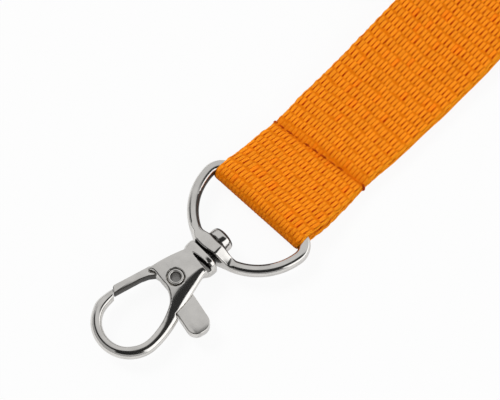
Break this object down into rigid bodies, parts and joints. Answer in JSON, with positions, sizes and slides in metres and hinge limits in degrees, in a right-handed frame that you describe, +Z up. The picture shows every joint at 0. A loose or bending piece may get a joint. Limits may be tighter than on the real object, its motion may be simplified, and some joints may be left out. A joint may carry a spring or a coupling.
{
  "type": "neck lanyard with swivel trigger hook",
  "caption": "Flat woven neck lanyard, folded for storage, sewn round a D ring that carries a swivelling nickel-plated trigger hook with a sprung gate and thumb tab.",
  "frame": {"origin": "on the resting surface, under the middle of the ring seam", "axes": "+X along the webbing from the hook towards the folded neck loop, +Y across the webbing, +Z up from the resting surface"},
  "size_m": [0.2162, 0.0242, 0.0154],
  "materials": {
    "webbing": "coarse plain-woven polyester webbing",
    "thread": "polyester sewing thread",
    "tie_band": "woven elastic band",
    "nickel": "bright nickel plate on zinc casting",
    "spring_steel": "bright spring wire"
  },
  "bodies": {
    "strap": {"strap_loop": "webbing", "strap_run": "webbing", "strap_hank": "webbing", "ring_seam": "thread", "hank_tie": "tie_band"},
    "ring": {"d_ring": "nickel"},
    "hook": {"hook_body": "nickel", "swivel_rivet": "nickel", "pivot_rivet": "nickel", "gate_spring": "spring_steel"},
    "gate": {"gate_lever": "nickel"}
  },
  "joints": [
    {"name": "ring_swing", "type": "hinge", "parent": "strap", "child": "ring", "pos_m": [-0.0128, 0, 0.0027], "axis": [0.0471, 0.9989, 0], "range_deg": [-110, 110]},
    {"name": "hook_swivel", "type": "hinge", "parent": "ring", "child": "hook", "pos_m": [-0.0128, 0, 0.0027], "axis": [0.9989, -0.0471, 0], "continuous": true},
    {"name": "gate_pivot", "type": "hinge", "parent": "hook", "child": "gate", "pos_m": [-0.0339, 0.00059, 0.0027], "axis": [0, 0, 1], "range_deg": [0, 28], "stiffness_Nm_per_rad": 0.03, "springref_deg": -17.19, "deforming": ["gate_spring"]}
  ]
}
